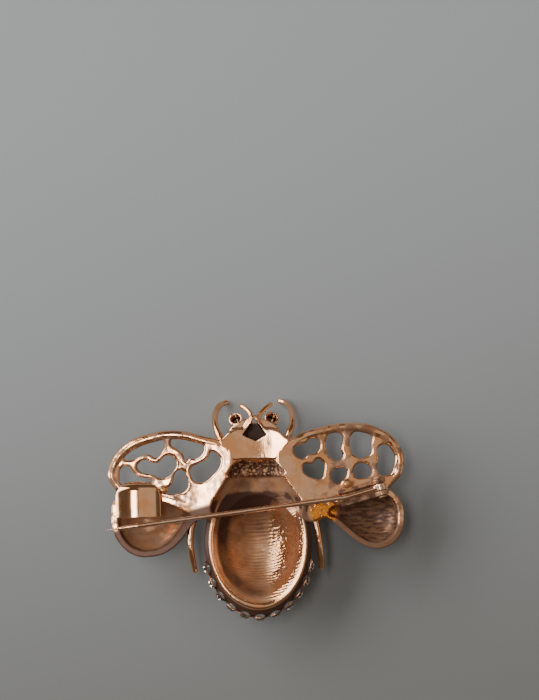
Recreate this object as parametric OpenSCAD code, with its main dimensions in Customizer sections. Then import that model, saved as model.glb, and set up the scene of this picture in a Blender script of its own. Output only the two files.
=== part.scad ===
// A bee brooch of cast metal, set with clear crystals, lying on its face with its pin upwards.
// Millimetres. X runs across the wings, Y towards the head and Z up, from the ground it lies on.

/* [Body] */
// Width of the abdomen across its back rim
abdomen_w = 17.4; // [15:0.2:18]
// Length of the abdomen from its widest line to the tail
tail_len = 11.9; // [10:0.1:12.5]
// Height of the back rim above the ground
rim_h = 8.4; // [7.8:0.1:9]
// Place of the abdomen's widest line along the body
abdomen_y = -5.5; // [-6.5:0.1:-4.5]
// Thickness of the body's cast wall
body_wall = 1.1; // [1:0.05:1.3]
// Thickness of the wall at the tail
tail_wall = 2; // [1.8:0.1:2.4]
// Fall of the sloping edge round the abdomen, from the hollow's lip outwards
edge_fall = 0.8; // [0.5:0.1:0.9]
// Width of the thorax's hollow at the waist
waist_w = 14.6; // [13.6:0.2:15.2]
// Width of the thorax's hollow at the neck
neck_w = 8.2; // [7:0.2:9.4]
// Depth of the thorax's hollow
thorax_dip = 3.2; // [2.8:0.1:3.6]
// Thickness of the raised bands across the front of the abdomen
band_t = 0.8; // [0.6:0.1:1]

/* [Head] */
// Place of the neck along the body
neck_y = 8; // [7.5:0.1:8.5]
// Length of the head plate, from the neck to the brow
head_len = 6.4; // [5.6:0.1:7.2]
// Width of the head plate
head_w = 11.4; // [10:0.2:12.4]
// Thickness of the head plate
head_t = 1.3; // [1:0.1:1.6]
// Depth of the head's domed face below its plate
face_depth = 4.6; // [3.6:0.1:5.2]
// Distance between the middles of the eyes
eye_gap = 5.4; // [4.8:0.1:6]
// Inner width of an eye's collet
eye_bore = 1.6; // [1.4:0.1:1.8]
// Wall of an eye's collet
eye_wall = 0.36; // [0.3:0.02:0.45]
// Thickness of a foreleg's rod
foreleg_d = 0.9; // [0.8:0.05:1.1]
// Thickness of a feeler's rod
feeler_d = 0.76; // [0.66:0.05:0.9]

/* [Upper wings] */
// Length of a wing from the middle of the body
wing_len = 24; // [22:0.5:26]
// Width of the pierced wing from its lower edge to its top
wing_w = 9.8; // [9:0.1:10.6]
// Place of the pierced wing's lower edge along the body
wing_y = 3; // [2.6:0.1:3.4]
// Thickness of the wing plate
wing_t = 1.15; // [1:0.05:1.4]
// Thickness of the round rim along the wing's edge
wing_rim_d = 1.6; // [1.4:0.1:1.8]
// Droop of each wing below the level of the back, in degrees
wing_droop = 3; // [1:0.5:4]

/* [Lower wings] */
// Length of a lower wing from its tip to its tail edge
cup_w = 10.4; // [9.6:0.1:11]
// Depth of a lower wing's domed front
cup_depth = 3.4; // [3:0.1:4]
// Thickness of a lower wing's cast wall
cup_wall = 1; // [0.9:0.05:1.2]

/* [Legs] */
// Thickness of a hind leg's rod
leg_d = 1.2; // [1:0.05:1.4]
// Length of a hind leg
leg_len = 8.6; // [7.6:0.2:9.6]

/* [Crystals] */
// Width of a crystal across its girdle
stone_d = 2.1; // [1.8:0.05:2.2]
// Height of a crystal's crown above the metal
stone_proud = 0.7; // [0.5:0.05:0.9]
// Depth of a crystal's back below the metal
stone_root = 0.5; // [0.4:0.05:0.6]
// Distance from one crystal to the next in a row
stone_pitch = 2.45; // [2.4:0.05:2.7]
// Depth of the row round the tail below the back rim
tail_row_drop = 1.3; // [1.2:0.05:1.6]
// Clearance of a stone in its seat
seat_gap = 0.06; // [0.04:0.01:0.1]

/* [Pin] */
// Thickness of the pin's wire
pin_d = 0.84; // [0.7:0.02:0.9]
// Length of the pin from its bend to its point
pin_len = 38.4; // [34:0.2:38.6]
// Length of the pin's ground point
point_len = 5; // [3:0.5:8]
// Slope of the open pin away from the back, in degrees
pin_rise = 2.6; // [2.4:0.1:6]
// Turn of the pin's shaft from the line of the wings, in degrees
pin_turn = 6.3; // [5.8:0.1:6.8]
// Turn of the hinge from the line of the wings, in degrees
hinge_turn = 15; // [12:1:17]
// Place of the hinge's rivet across the body
hinge_x = 19.9; // [19:0.1:20.4]
// Place of the hinge's rivet along the body
hinge_y = 2.8; // [2.4:0.1:3.2]
// Height of the rivet's axis above the hinge's floor
hinge_rise = 1.65; // [1.5:0.05:1.8]
// Length of the hinge's bracket
bracket_len = 7.6; // [7:0.1:8]
// Width of the slot between the hinge's ears
bracket_slot = 1.3; // [1.2:0.05:1.5]
// Thickness of the hinge's sheet
bracket_t = 0.7; // [0.6:0.05:0.8]
// Thickness of the rivet
rivet_d = 0.9; // [0.8:0.05:1]
// Width of the pin's flattened eye
pin_eye_d = 1.9; // [1.7:0.1:2.1]
// Running clearance of the pin's eye round the rivet
eye_play = 0.05; // [0.03:0.01:0.08]

/* [Catch] */
// Width of the catch along the pin
catch_w = 7.2; // [6:0.2:7.6]
// Length of the catch's curl across the pin
catch_len = 5.8; // [5.2:0.1:6.4]
// Height of the catch's curl outside
catch_h = 3.2; // [3:0.1:3.4]
// Thickness of the catch's sheet
catch_t = 0.7; // [0.6:0.05:0.8]
// Radius of the catch's crown along the pin
catch_crown_r = 9; // [8:0.5:14]
// Place of the catch's middle across the body
catch_x = -18.8; // [-19.6:0.1:-18]
// Place of the catch's bend along the body
catch_y = 4.7; // [4.3:0.1:4.9]

/* [Hidden] */
$fn = 48;
gold = [0.86, 0.63, 0.44];
wire_gold = [0.80, 0.58, 0.42];
rivet_gold = [0.90, 0.74, 0.50];
crystal_clear = [0.90, 0.94, 0.96];
eye_brown = [0.20, 0.10, 0.07];

abdomen_r = [abdomen_w / 2, tail_len, rim_h - stone_proud];
abdomen_at = [0.2, abdomen_y, rim_h];
bowl_r = [abdomen_r.x - body_wall, abdomen_r.y - tail_wall, abdomen_r.z - body_wall];
// How far out the flat lip round the abdomen's hollow reaches, as a share of the abdomen's own width.
lip_share = 0.89;
// The hollow of the thorax as two flattened balls: half width, half length and depth of each, and the
// place of each along the body.
waist_r = [waist_w / 2, 4, thorax_dip];
neck_r = [neck_w / 2, 1.9, 0.66 * thorax_dip];
neck_at = neck_y - neck_r.y;
waist_at = neck_y - 2 * neck_r.y - waist_r.y;
// Place along the body of the step between the waist's hollow and the thorax's.
step_y = neck_y - 2.9;
face_at = [0, neck_y + head_len * 0.45, rim_h - head_t / 2];
eye_y = neck_y + head_len * 0.93;
eye_z = rim_h * 0.56;
eye_tilt = 24;
collet_len = 2.6;
wing_back_z = rim_h;

// Outline of each wing's free edge, from the neck round its tip: shares of the wing's length and width.
left_edge = [
    [0.23, 0.82], [0.34, 0.89], [0.47, 0.98], [0.59, 1.00], [0.69, 0.96], [0.81, 0.87], [0.89, 0.75],
    [0.95, 0.59], [0.985, 0.41], [0.99, 0.25], [0.96, 0.11], [0.92, 0.01]];
right_edge = [
    [0.25, 0.82], [0.35, 0.93], [0.45, 0.99], [0.55, 1.04], [0.64, 1.05], [0.73, 1.04], [0.83, 0.96],
    [0.91, 0.85], [0.97, 0.68], [1.00, 0.50], [1.00, 0.33], [0.98, 0.17], [0.93, 0.04]];
// The rest of each outline, along the lower wing and up the side of the body.
left_root = [
    [0.77, 0.00], [0.64, -0.05], [0.53, -0.14], [0.45, -0.28], [0.37, -0.43], [0.28, -0.44], [0.20, 0.00],
    [0.14, 0.49], [0.16, 0.72]];
right_root = [
    [0.88, -0.06], [0.74, -0.08], [0.59, -0.11], [0.51, -0.29], [0.44, -0.51], [0.36, -0.56],
    [0.26, -0.44], [0.20, 0.00], [0.14, 0.48], [0.17, 0.70]];

// The cells pierced through each wing, as shares like those of the outline.
left_cells = [
    [[0.73, 0.86], [0.63, 0.86], [0.60, 0.79], [0.62, 0.66], [0.66, 0.56], [0.71, 0.62], [0.77, 0.59],
        [0.81, 0.54], [0.88, 0.56], [0.88, 0.65], [0.80, 0.79]],
    [[0.55, 0.86], [0.45, 0.84], [0.36, 0.77], [0.34, 0.70], [0.36, 0.58], [0.40, 0.53], [0.44, 0.53],
        [0.46, 0.48], [0.48, 0.60], [0.52, 0.69], [0.56, 0.77]],
    [[0.29, 0.63], [0.24, 0.56], [0.23, 0.49], [0.24, 0.38], [0.29, 0.24], [0.34, 0.15], [0.40, 0.15],
        [0.43, 0.24], [0.43, 0.38], [0.38, 0.44], [0.31, 0.54]],
    [[0.77, 0.50], [0.79, 0.41], [0.75, 0.32], [0.69, 0.29], [0.63, 0.22], [0.58, 0.26], [0.55, 0.33],
        [0.53, 0.40], [0.53, 0.50], [0.56, 0.59], [0.61, 0.57], [0.65, 0.48], [0.70, 0.49], [0.73, 0.53]],
    [[0.89, 0.42], [0.85, 0.43], [0.83, 0.37], [0.79, 0.27], [0.73, 0.23], [0.69, 0.19], [0.72, 0.13],
        [0.78, 0.14], [0.86, 0.10], [0.90, 0.15], [0.91, 0.29]],
    [[0.53, 0.32], [0.48, 0.33], [0.46, 0.23], [0.45, 0.13], [0.47, 0.01], [0.52, -0.03], [0.58, -0.04],
        [0.62, 0.04], [0.57, 0.09], [0.55, 0.20]]];
right_cells = [
    [[0.26, 0.63], [0.29, 0.70], [0.34, 0.73], [0.39, 0.81], [0.43, 0.78], [0.44, 0.68], [0.42, 0.58],
        [0.36, 0.54], [0.32, 0.48], [0.28, 0.53]],
    [[0.51, 0.88], [0.56, 0.89], [0.59, 0.84], [0.59, 0.73], [0.58, 0.62], [0.59, 0.49], [0.55, 0.43],
        [0.51, 0.48], [0.48, 0.61], [0.48, 0.76]],
    [[0.65, 0.83], [0.69, 0.91], [0.75, 0.90], [0.79, 0.80], [0.78, 0.69], [0.78, 0.54], [0.74, 0.48],
        [0.69, 0.48], [0.65, 0.57], [0.64, 0.70]],
    [[0.83, 0.62], [0.88, 0.68], [0.92, 0.62], [0.94, 0.48], [0.93, 0.31], [0.91, 0.20], [0.87, 0.17],
        [0.83, 0.20], [0.82, 0.31], [0.83, 0.46]],
    [[0.33, 0.38], [0.39, 0.40], [0.42, 0.47], [0.46, 0.40], [0.46, 0.25], [0.44, 0.14], [0.39, 0.16],
        [0.34, 0.23], [0.32, 0.31]],
    [[0.52, 0.27], [0.56, 0.31], [0.61, 0.29], [0.61, 0.18], [0.58, 0.10], [0.54, 0.06], [0.51, 0.15]],
    [[0.66, 0.27], [0.69, 0.37], [0.75, 0.37], [0.78, 0.27], [0.77, 0.17], [0.72, 0.14], [0.67, 0.16]]];

// Outline of each lower wing, as shares of the wing's length and the lower wing's own width.
left_cup = [
    [0.37, 0.61], [0.43, 0.47], [0.50, 0.26], [0.59, 0.08], [0.71, 0.00], [0.82, 0.03], [0.91, 0.19],
    [0.96, 0.41], [0.97, 0.67], [0.95, 0.88], [0.87, 1.00], [0.74, 1.00], [0.60, 0.92], [0.46, 0.78]];
right_cup = [
    [0.41, 0.62], [0.49, 0.51], [0.58, 0.33], [0.68, 0.14], [0.78, 0.04], [0.88, 0.07], [0.96, 0.23],
    [0.99, 0.50], [0.97, 0.78], [0.90, 0.94], [0.78, 0.97], [0.63, 0.91], [0.50, 0.80]];
// The deepest point of each lower wing, as the same shares.
left_cup_mid = [0.73, 0.52];
right_cup_mid = [0.78, 0.52];
cup_y = wing_y - cup_w;

// Half of the head plate's outline: shares of half its width and of its length.
head_half = [
    [0.64, -0.04], [0.86, 0.22], [1.00, 0.42], [0.87, 0.53], [0.72, 0.66], [0.50, 0.74], [0.30, 0.76],
    [0.17, 0.90], [0.11, 1.05]];
// The dark hollow in the back of the head, as the same shares.
head_hollow = [[0.02, 1.00], [-0.33, 0.58], [0.05, 0.42], [0.35, 0.57]];

// Middle line of a foreleg: shares of half the head's width, of its length, and of the back's height.
foreleg_line = [
    [0.86, 0.36, 0.86], [1.00, 0.62, 0.80], [1.09, 0.88, 0.64], [1.09, 1.12, 0.44], [1.03, 1.30, 0.24],
    [0.91, 1.42, 0.08], [0.76, 1.47, -0.011]];
// Middle lines of the two feelers, as the same shares.
left_feeler_line = [
    [0.12, 0.84, 0.86], [0.08, 1.00, 0.86], [0.09, 1.12, 0.82], [0.20, 1.25, 0.74], [0.34, 1.33, 0.64]];
right_feeler_line = [
    [0.06, 0.90, 0.86], [0.13, 1.04, 0.86], [0.27, 1.19, 0.80], [0.40, 1.30, 0.72], [0.50, 1.36, 0.62]];
// Middle lines of the hind legs: the place across the body in shares of the wing's length,
// the place along the leg's length, and the height in shares of the back's height.
left_leg_line = [
    [0.40, -0.05, 0.81], [0.435, 0.18, 0.82], [0.445, 0.45, 0.81], [0.435, 0.75, 0.77], [0.42, 1.00, 0.64]];
right_leg_line = [
    [0.38, -0.05, 0.81], [0.40, 0.18, 0.82], [0.415, 0.45, 0.81], [0.425, 0.75, 0.77], [0.43, 1.00, 0.64]];
leg_top_y = -1.2;

// Rows of crystals across the front of the abdomen: the turn of each row round the body, and its count.
stone_rows = [[-27, 7], [0, 8], [27, 7], [52, 6]];
// The count of the row that runs round the tail just under the back rim.
tail_row_count = 11;
// The turns of the raised bands that run between those rows.
band_turns = [-42, -13.5, 13.5, 40, 65];
// How far the hinge's sheet is sunk into the solder, and the catch's height above the pin's hinge.
bracket_sunk = 0.25;
catch_over_hinge = 0.75;
// Clearance of the rivet in its ears, and radius of the pin's point.
rivet_play = 0.03;
point_r = 0.06;
// Drops of solder left on the back: place across and along the body, and radius.
solder_drops = [[13.2, 0.9, 1.0], [14.6, 3.5, 0.8], [-14.9, 3.3, 0.8]];

function unit(v) = v / norm(v);
function mirrored(half) = concat(half, [for (i = [len(half) - 1:-1:0]) [-half[i].x, half[i].y]]);

// One step of a smooth curve between b and c, with a and d on either side.
function spline(a, b, c, d, t) =
    (2 * b + (c - a) * t + (2 * a - 5 * b + 4 * c - d) * t * t + (3 * b - a - 3 * c + d) * t * t * t) / 2;

// A smooth closed curve through the points p, in n steps from each to the next.
function closed_curve(p, n) = [
    for (i = [0:len(p) - 1], k = [0:n - 1])
        spline(p[(i + len(p) - 1) % len(p)], p[i], p[(i + 1) % len(p)], p[(i + 2) % len(p)], k / n)];

// A smooth open curve through the points p.
function open_curve(p, n) = [
    for (i = [0:len(p) - 2], k = [0:n - 1])
        spline(p[max(i - 1, 0)], p[i], p[i + 1], p[min(i + 2, len(p) - 1)], k / n),
    p[len(p) - 1]];

// A rod of round section along a path, with a radius at each point and rounded ends.
module rod(path, radii, sides = 8) {
    n = len(path);
    ways = [for (i = [0:n - 1]) unit(path[min(i + 1, n - 1)] - path[max(i - 1, 0)])];
    rings = [
        for (i = [0:n - 1])
            let (across = unit(cross(ways[i], [0, 0, 1])), up = cross(across, ways[i]))
                for (k = [0:sides - 1])
                    path[i] + radii[i] * (cos(360 * k / sides) * across + sin(360 * k / sides) * up)];
    ends = [path[0] - 0.6 * radii[0] * ways[0], path[n - 1] + 0.6 * radii[n - 1] * ways[n - 1]];
    sides_of = [
        for (i = [0:n - 2], k = [0:sides - 1])
            let (a = i * sides + k, b = i * sides + (k + 1) % sides)
                [b, b + sides, a + sides, a]];
    first_cap = [for (k = [0:sides - 1]) [(k + 1) % sides, k, n * sides]];
    last_cap = [
        for (k = [0:sides - 1])
            [(n - 1) * sides + k, (n - 1) * sides + (k + 1) % sides, n * sides + 1]];
    polyhedron(points = concat(rings, ends), faces = concat(sides_of, first_cap, last_cap));
}

// A bowl-shaped solid that hangs below z = 0 from the outline p, with straight sides above it.
module bowl(p, middle, depth, above = 0.01, steps = 5) {
    n = len(p);
    levels = concat(
        [[1, above]],
        [for (k = [0:steps - 1]) [cos(90 * k / steps), -depth * sin(90 * k / steps)]]);
    points = [
        for (level = levels, q = p)
            let (at = middle + level[0] * (q - middle))
                [at.x, at.y, level[1]]];
    walls = [
        for (j = [0:len(levels) - 2], k = [0:n - 1])
            let (a = j * n + k, b = j * n + (k + 1) % n)
                [a, b, b + n, a + n]];
    last = (len(levels) - 1) * n;
    floor_fan = [for (k = [0:n - 1]) [last + k, last + (k + 1) % n, len(levels) * n]];
    polyhedron(
        points = concat(points, [[middle.x, middle.y, -depth]]),
        faces = concat([[for (k = [n - 1:-1:0]) k]], walls, floor_fan));
}

// Half an ellipsoid with radii r, below the height of its middle.
module half_shell(at, r) {
    translate(at)
        intersection() {
            scale(r) sphere(1, $fn = 40);
            translate([0, 0, -1.5 * r.z]) cube([3 * r.x, 3 * r.y, 3 * r.z], center = true);
        }
}

// A hull between two flattened balls on the level of the back rim: each is its place along the body and
// its half width, half length and depth.
module pocket(y1, r1, y2, r2, fine = 28) {
    hull() {
        translate([abdomen_at.x / 2, y1, rim_h]) scale(r1) sphere(1, $fn = fine);
        translate([0, y2, rim_h]) scale(r2) sphere(1, $fn = fine);
    }
}

// A direction from the middle of the abdomen, by the turn round the body and the turn along the row.
function dome_way(turn, along) = [sin(along), -cos(along) * sin(turn), -cos(along) * cos(turn)];
// A direction to the row under the rim, by its turn round the tail.
function rim_way(turn) =
    let (low = asin(tail_row_drop / abdomen_r.z))
        [cos(low) * sin(turn), -cos(low) * cos(turn), -sin(low)];
// The point of the abdomen's surface that lies in a direction, and the way out of the metal there.
function dome_out(way) = unit([for (i = [0:2]) way[i] / abdomen_r[i]]);
function dome_point(way, out = 0) =
    abdomen_at + [for (i = [0:2]) way[i] * abdomen_r[i]] + out * dome_out(way);

// Turns along a row of crystals one pitch apart, on an ellipse with radii p and q, from its middle.
function row_speed(p, q, turn) = norm([p * cos(turn), q * sin(turn)]) * PI / 180;
function next_turn(p, q, turn) =
    let (half = turn + stone_pitch / 2 / row_speed(p, q, turn))
        turn + stone_pitch / row_speed(p, q, half);
function half_row(p, q, count, turn) =
    count < 1 ? [] : concat([turn], half_row(p, q, count - 1, next_turn(p, q, turn)));
function row_turns(p, q, count) =
    let (first = count % 2 == 1 ? 0 : stone_pitch / 2 / row_speed(p, q, 0),
         half = half_row(p, q, ceil(count / 2), first))
        [for (k = [0:count - 1])
            let (step = k - (count - 1) / 2)
                sign(step) * half[floor(abs(step))]];

// Every crystal as its row, its number in the row, and its direction from the abdomen's middle.
front_crystals = [
    for (row = [0:len(stone_rows) - 1])
        let (turn = stone_rows[row][0], count = stone_rows[row][1],
             q = norm([abdomen_r.y * sin(turn), abdomen_r.z * cos(turn)]),
             turns = row_turns(abdomen_r.x, q, count))
            for (k = [0:count - 1]) [row + 1, k + 1, dome_way(turn, turns[k])]];
tail_turns = row_turns(abdomen_r.x, abdomen_r.y, tail_row_count);
tail_crystals = [
    for (k = [0:tail_row_count - 1]) [len(stone_rows) + 1, k + 1, rim_way(tail_turns[k])]];
crystals = concat(front_crystals, tail_crystals);
function crystal_name(c) = str("crystal_row", c[0], "_", c[1]);

// Puts what is drawn along +Z at a crystal's place, with +Z away from the metal.
module at_crystal(c) {
    n = dome_out(c[2]);
    translate(dome_point(c[2]))
        rotate([0, acos(n.z), atan2(n.y, n.x)])
            children();
}

module body_domes() {
    wall = body_wall * [1, 1, 1];
    abdomen_dome();
    intersection() {
        pocket(waist_at, waist_r + wall, neck_at, neck_r + wall);
        translate([-wing_len, -wing_len, 0]) cube([2 * wing_len, 2 * wing_len, rim_h]);
    }
}

// The abdomen's dome, with a flat lip and a slope that falls from it to the widest line.
module abdomen_dome() {
    edge_turn = asin(edge_fall / abdomen_r.z);
    translate(abdomen_at)
        scale(abdomen_r)
            rotate_extrude($fn = 40)
                polygon(concat(
                    [[0, 0], [lip_share, 0]],
                    [for (step = [0:10])
                        let (turn = edge_turn + (90 - edge_turn) * step / 10)
                            [cos(turn), -sin(turn)]]));
}

// The hollows of the body: the abdomen's bowl, the waist's and the thorax's shallower one, a step up.
module body_hollows() {
    translate(abdomen_at) {
        scale(bowl_r) sphere(1, $fn = 36);
        linear_extrude(rim_h / 2) scale([bowl_r.x, bowl_r.y]) circle(1, $fn = 36);
    }
    share = (step_y - neck_at) / (waist_at - neck_at);
    step_r = [neck_r.x + (waist_r.x - neck_r.x) * share, 0.9, waist_r.z];
    pocket(waist_at, waist_r, step_y - 0.4, [step_r.x, step_r.y, 0.9 * step_r.z]);
    pocket(step_y + 0.4, [step_r.x, step_r.y, neck_r.z], neck_at, neck_r, 24);
}

// The raised bands between the rows of crystals.
module bands() {
    for (turn = band_turns) {
        path = [for (step = [-5:5]) dome_point(dome_way(turn, 12.5 * step), -0.1)];
        rod(path, [for (p = path) band_t / 2], 6);
    }
}

// A wing drawn on the body's right: its pierced plate with a round rim, then its domed lower wing.
module wing(edge, root, cells, cup, cup_mid) {
    size = [wing_len, wing_w];
    outline = closed_curve([for (p = concat(edge, root)) [p.x * size.x, wing_y + p.y * size.y]], 2);
    translate([0, 0, -wing_t])
        linear_extrude(wing_t)
            difference() {
                polygon(outline);
                for (cell = cells)
                    polygon(closed_curve([for (p = cell) [p.x * size.x, wing_y + p.y * size.y]], 2));
            }
    rim = open_curve([for (p = edge) [p.x * size.x, wing_y + p.y * size.y]], 2);
    n = len(rim);
    inset = [
        for (i = [0:n - 1])
            let (way = unit(rim[min(i + 1, n - 1)] - rim[max(i - 1, 0)]), in = wing_rim_d * 0.45)
                [rim[i].x + in * way.y, rim[i].y - in * way.x, -0.45 * wing_t]];
    rod(inset, [for (i = [0:n - 1]) wing_rim_d / 2 * (0.72 + 0.28 * sin(180 * i / (n - 1)))], 6);
    bowl(cup_curve(cup, cup_mid, 1), cup_at(cup_mid), cup_depth);
}

function cup_at(share) = [share.x * wing_len, cup_y + share.y * cup_w];

// The lower wing's outline, drawn in towards its deepest point by a share.
function cup_curve(cup, cup_mid, share) =
    [for (q = closed_curve(cup, 2)) cup_at(cup_mid + share * (q - cup_mid))];

// Sets a wing at the height of the back, drooping a little, on one side of the body.
module on_side(side) {
    mirror([side < 0 ? 1 : 0, 0, 0])
        translate([0, 0, wing_back_z])
            rotate([0, wing_droop, 0])
                children();
}

module face() {
    half_shell(face_at, [head_w * 0.4, head_len * 0.56, face_depth]);
}

module head_plate() {
    outline = mirrored([for (p = head_half) [p.x * head_w / 2, neck_y + p.y * head_len]]);
    translate([0, 0, rim_h - head_t + 0.2])
        linear_extrude(head_t) polygon(outline);
}

// Puts what is drawn along +Z at an eye, with +Z out of the face.
module at_eye(side) {
    translate([side * eye_gap / 2, eye_y, eye_z])
        rotate([180 - eye_tilt, side * eye_tilt / 2, 0])
            children();
}

function head_line(line) = [
    for (p = line)
        [p.x * head_w / 2, neck_y + p.y * head_len, foreleg_d / 2 + p.z * (rim_h - foreleg_d / 2)]];

module forelegs_and_feelers() {
    foreleg = open_curve(head_line(foreleg_line), 2);
    foot = len(foreleg) - 1;
    for (side = [0, 1])
        mirror([side, 0, 0])
            rod(foreleg, [for (i = [0:foot]) foreleg_d / 2 * (i == foot ? 0.98 : 1)], 8);
    right = open_curve(head_line(right_feeler_line), 2);
    rod(right, [for (p = right) feeler_d / 2], 8);
    left = open_curve(head_line(left_feeler_line), 2);
    mirror([1, 0, 0]) rod(left, [for (p = left) feeler_d / 2], 8);
}

module hind_leg(line) {
    path = open_curve([for (p = line) [p.x * wing_len, leg_top_y - p.y * leg_len, p.z * rim_h]], 2);
    n = len(path);
    rod(path, [for (i = [0:n - 1]) leg_d / 2 * (1 - 0.22 * i / (n - 1))], 8);
}

// The whole cast body with its hollows, cells and stone seats.
module cast_body() {
    difference() {
        union() {
            difference() {
                solid_forms();
                body_hollows();
                on_side(1) cup_hollow(right_cup, right_cup_mid);
                on_side(-1) cup_hollow(left_cup, left_cup_mid);
            }
            head_plate();
            for (side = [-1, 1])
                at_eye(side) cylinder(h = collet_len, r = eye_bore / 2 + eye_wall, center = true, $fn = 18);
        }
        translate([0, 0, rim_h - face_depth * 0.7])
            linear_extrude(face_depth)
                polygon([for (p = head_hollow) [p.x * head_w / 2, neck_y + p.y * head_len]]);
        for (side = [-1, 1])
            at_eye(side) cylinder(h = 2 * collet_len, r = eye_bore / 2, center = true, $fn = 18);
        for (c = crystals)
            at_crystal(c) seat();
    }
}

module solid_forms() {
    body_domes();
    bands();
    face();
    on_side(1) wing(right_edge, right_root, right_cells, right_cup, right_cup_mid);
    on_side(-1) wing(left_edge, left_root, left_cells, left_cup, left_cup_mid);
    forelegs_and_feelers();
    hind_leg(right_leg_line);
    mirror([1, 0, 0]) hind_leg(left_leg_line);
    for (drop = solder_drops)
        translate([drop.x, drop.y, wing_back_z - abs(drop.x) * sin(wing_droop) - 0.1])
            scale([1.2, 0.9, 0.6]) sphere(drop.z, $fn = 12);
}

// A crystal's seat: a cone for its back, open above.
module seat() {
    r = stone_d / 2;
    translate([0, 0, -stone_root - seat_gap])
        cylinder(h = stone_root + seat_gap, r1 = r / 2 + seat_gap, r2 = r + seat_gap, $fn = 8);
    cylinder(h = 1.5, r = r + seat_gap, $fn = 8);
}

module cup_hollow(cup, cup_mid) {
    bowl(cup_curve(cup, cup_mid, 1 - 2 * cup_wall / cup_w), cup_at(cup_mid), cup_depth - cup_wall, 2);
}

hinge_floor_z = wing_back_z - hinge_x * sin(wing_droop) + bracket_t - bracket_sunk;
hinge_z = hinge_floor_z + hinge_rise;
ear_out = bracket_slot / 2 + bracket_t;
ear_r = pin_eye_d * 0.6;
// Length of the pin's root, which lies along the channel, and height of the channel's sides.
root_len = bracket_len * 0.76;
side_h = hinge_rise * 0.32;

// Puts what is drawn about the rivet's middle at the hinge, with the pin running towards -X.
module at_hinge() {
    translate([hinge_x, hinge_y, hinge_z]) rotate([0, 0, hinge_turn]) children();
}

// The hinge's channel of folded sheet, with a round ear on each side of the rivet.
module hinge_bracket() {
    back = ear_r * 0.8;
    at_hinge()
        difference() {
            union() {
                translate([back - bracket_len, -ear_out, -hinge_rise - bracket_t])
                    cube([bracket_len, 2 * ear_out, bracket_t]);
                for (side = [-1, 1])
                    translate([0, side * (bracket_slot + bracket_t) / 2, 0]) {
                        rotate([90, 0, 0]) cylinder(h = bracket_t, r = ear_r, center = true);
                        translate([-ear_r, -bracket_t / 2, -hinge_rise - bracket_t / 2])
                            cube([2 * ear_r, bracket_t, hinge_rise + bracket_t / 2]);
                        translate([back - bracket_len, -bracket_t / 2, -hinge_rise - bracket_t / 2])
                            cube([bracket_len - back, bracket_t, side_h + bracket_t / 2]);
                    }
            }
            rotate([90, 0, 0]) cylinder(h = 4 * ear_out, r = rivet_d / 2 + rivet_play, center = true);
        }
}

// The catch: a sheet with two rounded corners, curled over towards the head, with a crowned top and a
// short flat base.
module catch() {
    translate([catch_x, catch_y, hinge_z + catch_over_hinge])
        difference() {
            intersection() {
                catch_block(0, 0);
                catch_outline();
            }
            catch_block(catch_t, 1);
            translate([-catch_w, -2 * catch_len, -2 * catch_h])
                cube([2 * catch_w, 2 * catch_len - catch_h * 0.9, 2 * catch_h - catch_h / 2]);
        }
}

// The catch's outline from above, as deep as the catch is high.
module catch_outline() {
    r = catch_w * 0.37;
    for (side = [-1, 1])
        translate([side * (catch_w / 2 - r), -r, -catch_h]) cylinder(h = catch_h, r = r);
    translate([r - catch_w / 2, -catch_len, -catch_h]) cube([catch_w - 2 * r, catch_len, catch_h]);
    translate([-catch_w / 2, -catch_len, -catch_h]) cube([catch_w, catch_len - r, catch_h]);
}

// The catch as a block, less a wall all round: its bend, its flat sides and the crown along the pin.
module catch_block(wall, past) {
    r = catch_h / 2;
    wide = catch_w + 2 * past;
    intersection() {
        union() {
            translate([0, -r, -r]) rotate([0, 90, 0]) cylinder(h = wide, r = r - wall, center = true);
            translate([-wide / 2, -catch_len - past, wall - catch_h])
                cube([wide, catch_len + past - r, catch_h - 2 * wall]);
        }
        translate([0, 0, -catch_crown_r])
            rotate([90, 0, 0]) cylinder(h = 3 * catch_len, r = catch_crown_r - wall, center = true);
    }
}

module casting() {
    color(gold) {
        resize([2 * wing_len, 0, 0]) cast_body();
        hinge_bracket();
        catch();
    }
}

module needle() {
    color(wire_gold)
        at_hinge()
            difference() {
                union() {
                    rotate([90, 0, 0]) cylinder(h = bracket_slot - 0.16, r = pin_eye_d / 2, center = true);
                    rotate([0, -90, 0]) cylinder(h = root_len, r = pin_d / 2);
                    translate([-root_len, 0, 0]) {
                        sphere(pin_d * 0.52);
                        rotate([0, pin_rise - 90, pin_turn - hinge_turn]) {
                            cylinder(h = pin_len - point_len, r = pin_d / 2);
                            translate([0, 0, pin_len - point_len])
                                cylinder(h = point_len, r1 = pin_d / 2, r2 = point_r);
                        }
                    }
                }
                rotate([90, 0, 0]) cylinder(h = 4 * ear_out, r = rivet_d / 2 + eye_play, center = true);
            }
}

module hinge_rivet() {
    head_r = rivet_d * 0.72;
    color(rivet_gold)
        at_hinge()
            rotate([90, 0, 0]) {
                cylinder(h = 2 * ear_out + 0.2, r = rivet_d / 2, center = true);
                for (side = [-1, 1])
                    translate([0, 0, side * (ear_out + 0.2)])
                        cylinder(h = 0.3, r = head_r, center = true);
            }
}

// A dark glass eye, domed to the front and flat behind.
module eye_stone(side) {
    color(eye_brown)
        at_eye(side)
            translate([0, 0, 0.5])
                intersection() {
                    sphere(eye_bore / 2 - seat_gap);
                    translate([0, 0, 0.7]) cube([3, 3, 2.2], center = true);
                }
}

// A clear crystal with a flat table, eight crown facets and eight pavilion facets.
module crystal(c) {
    r = stone_d / 2;
    girdle = 0.16;
    color(crystal_clear)
        at_crystal(c) {
            translate([0, 0, -stone_root]) cylinder(h = stone_root - 0.04, r1 = r * 0.5, r2 = r, $fn = 8);
            translate([0, 0, -0.04]) cylinder(h = girdle, r = r, $fn = 8);
            translate([0, 0, girdle - 0.04])
                cylinder(h = stone_proud + 0.04 - girdle, r1 = r, r2 = r * 0.58, $fn = 8);
        }
}

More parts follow.
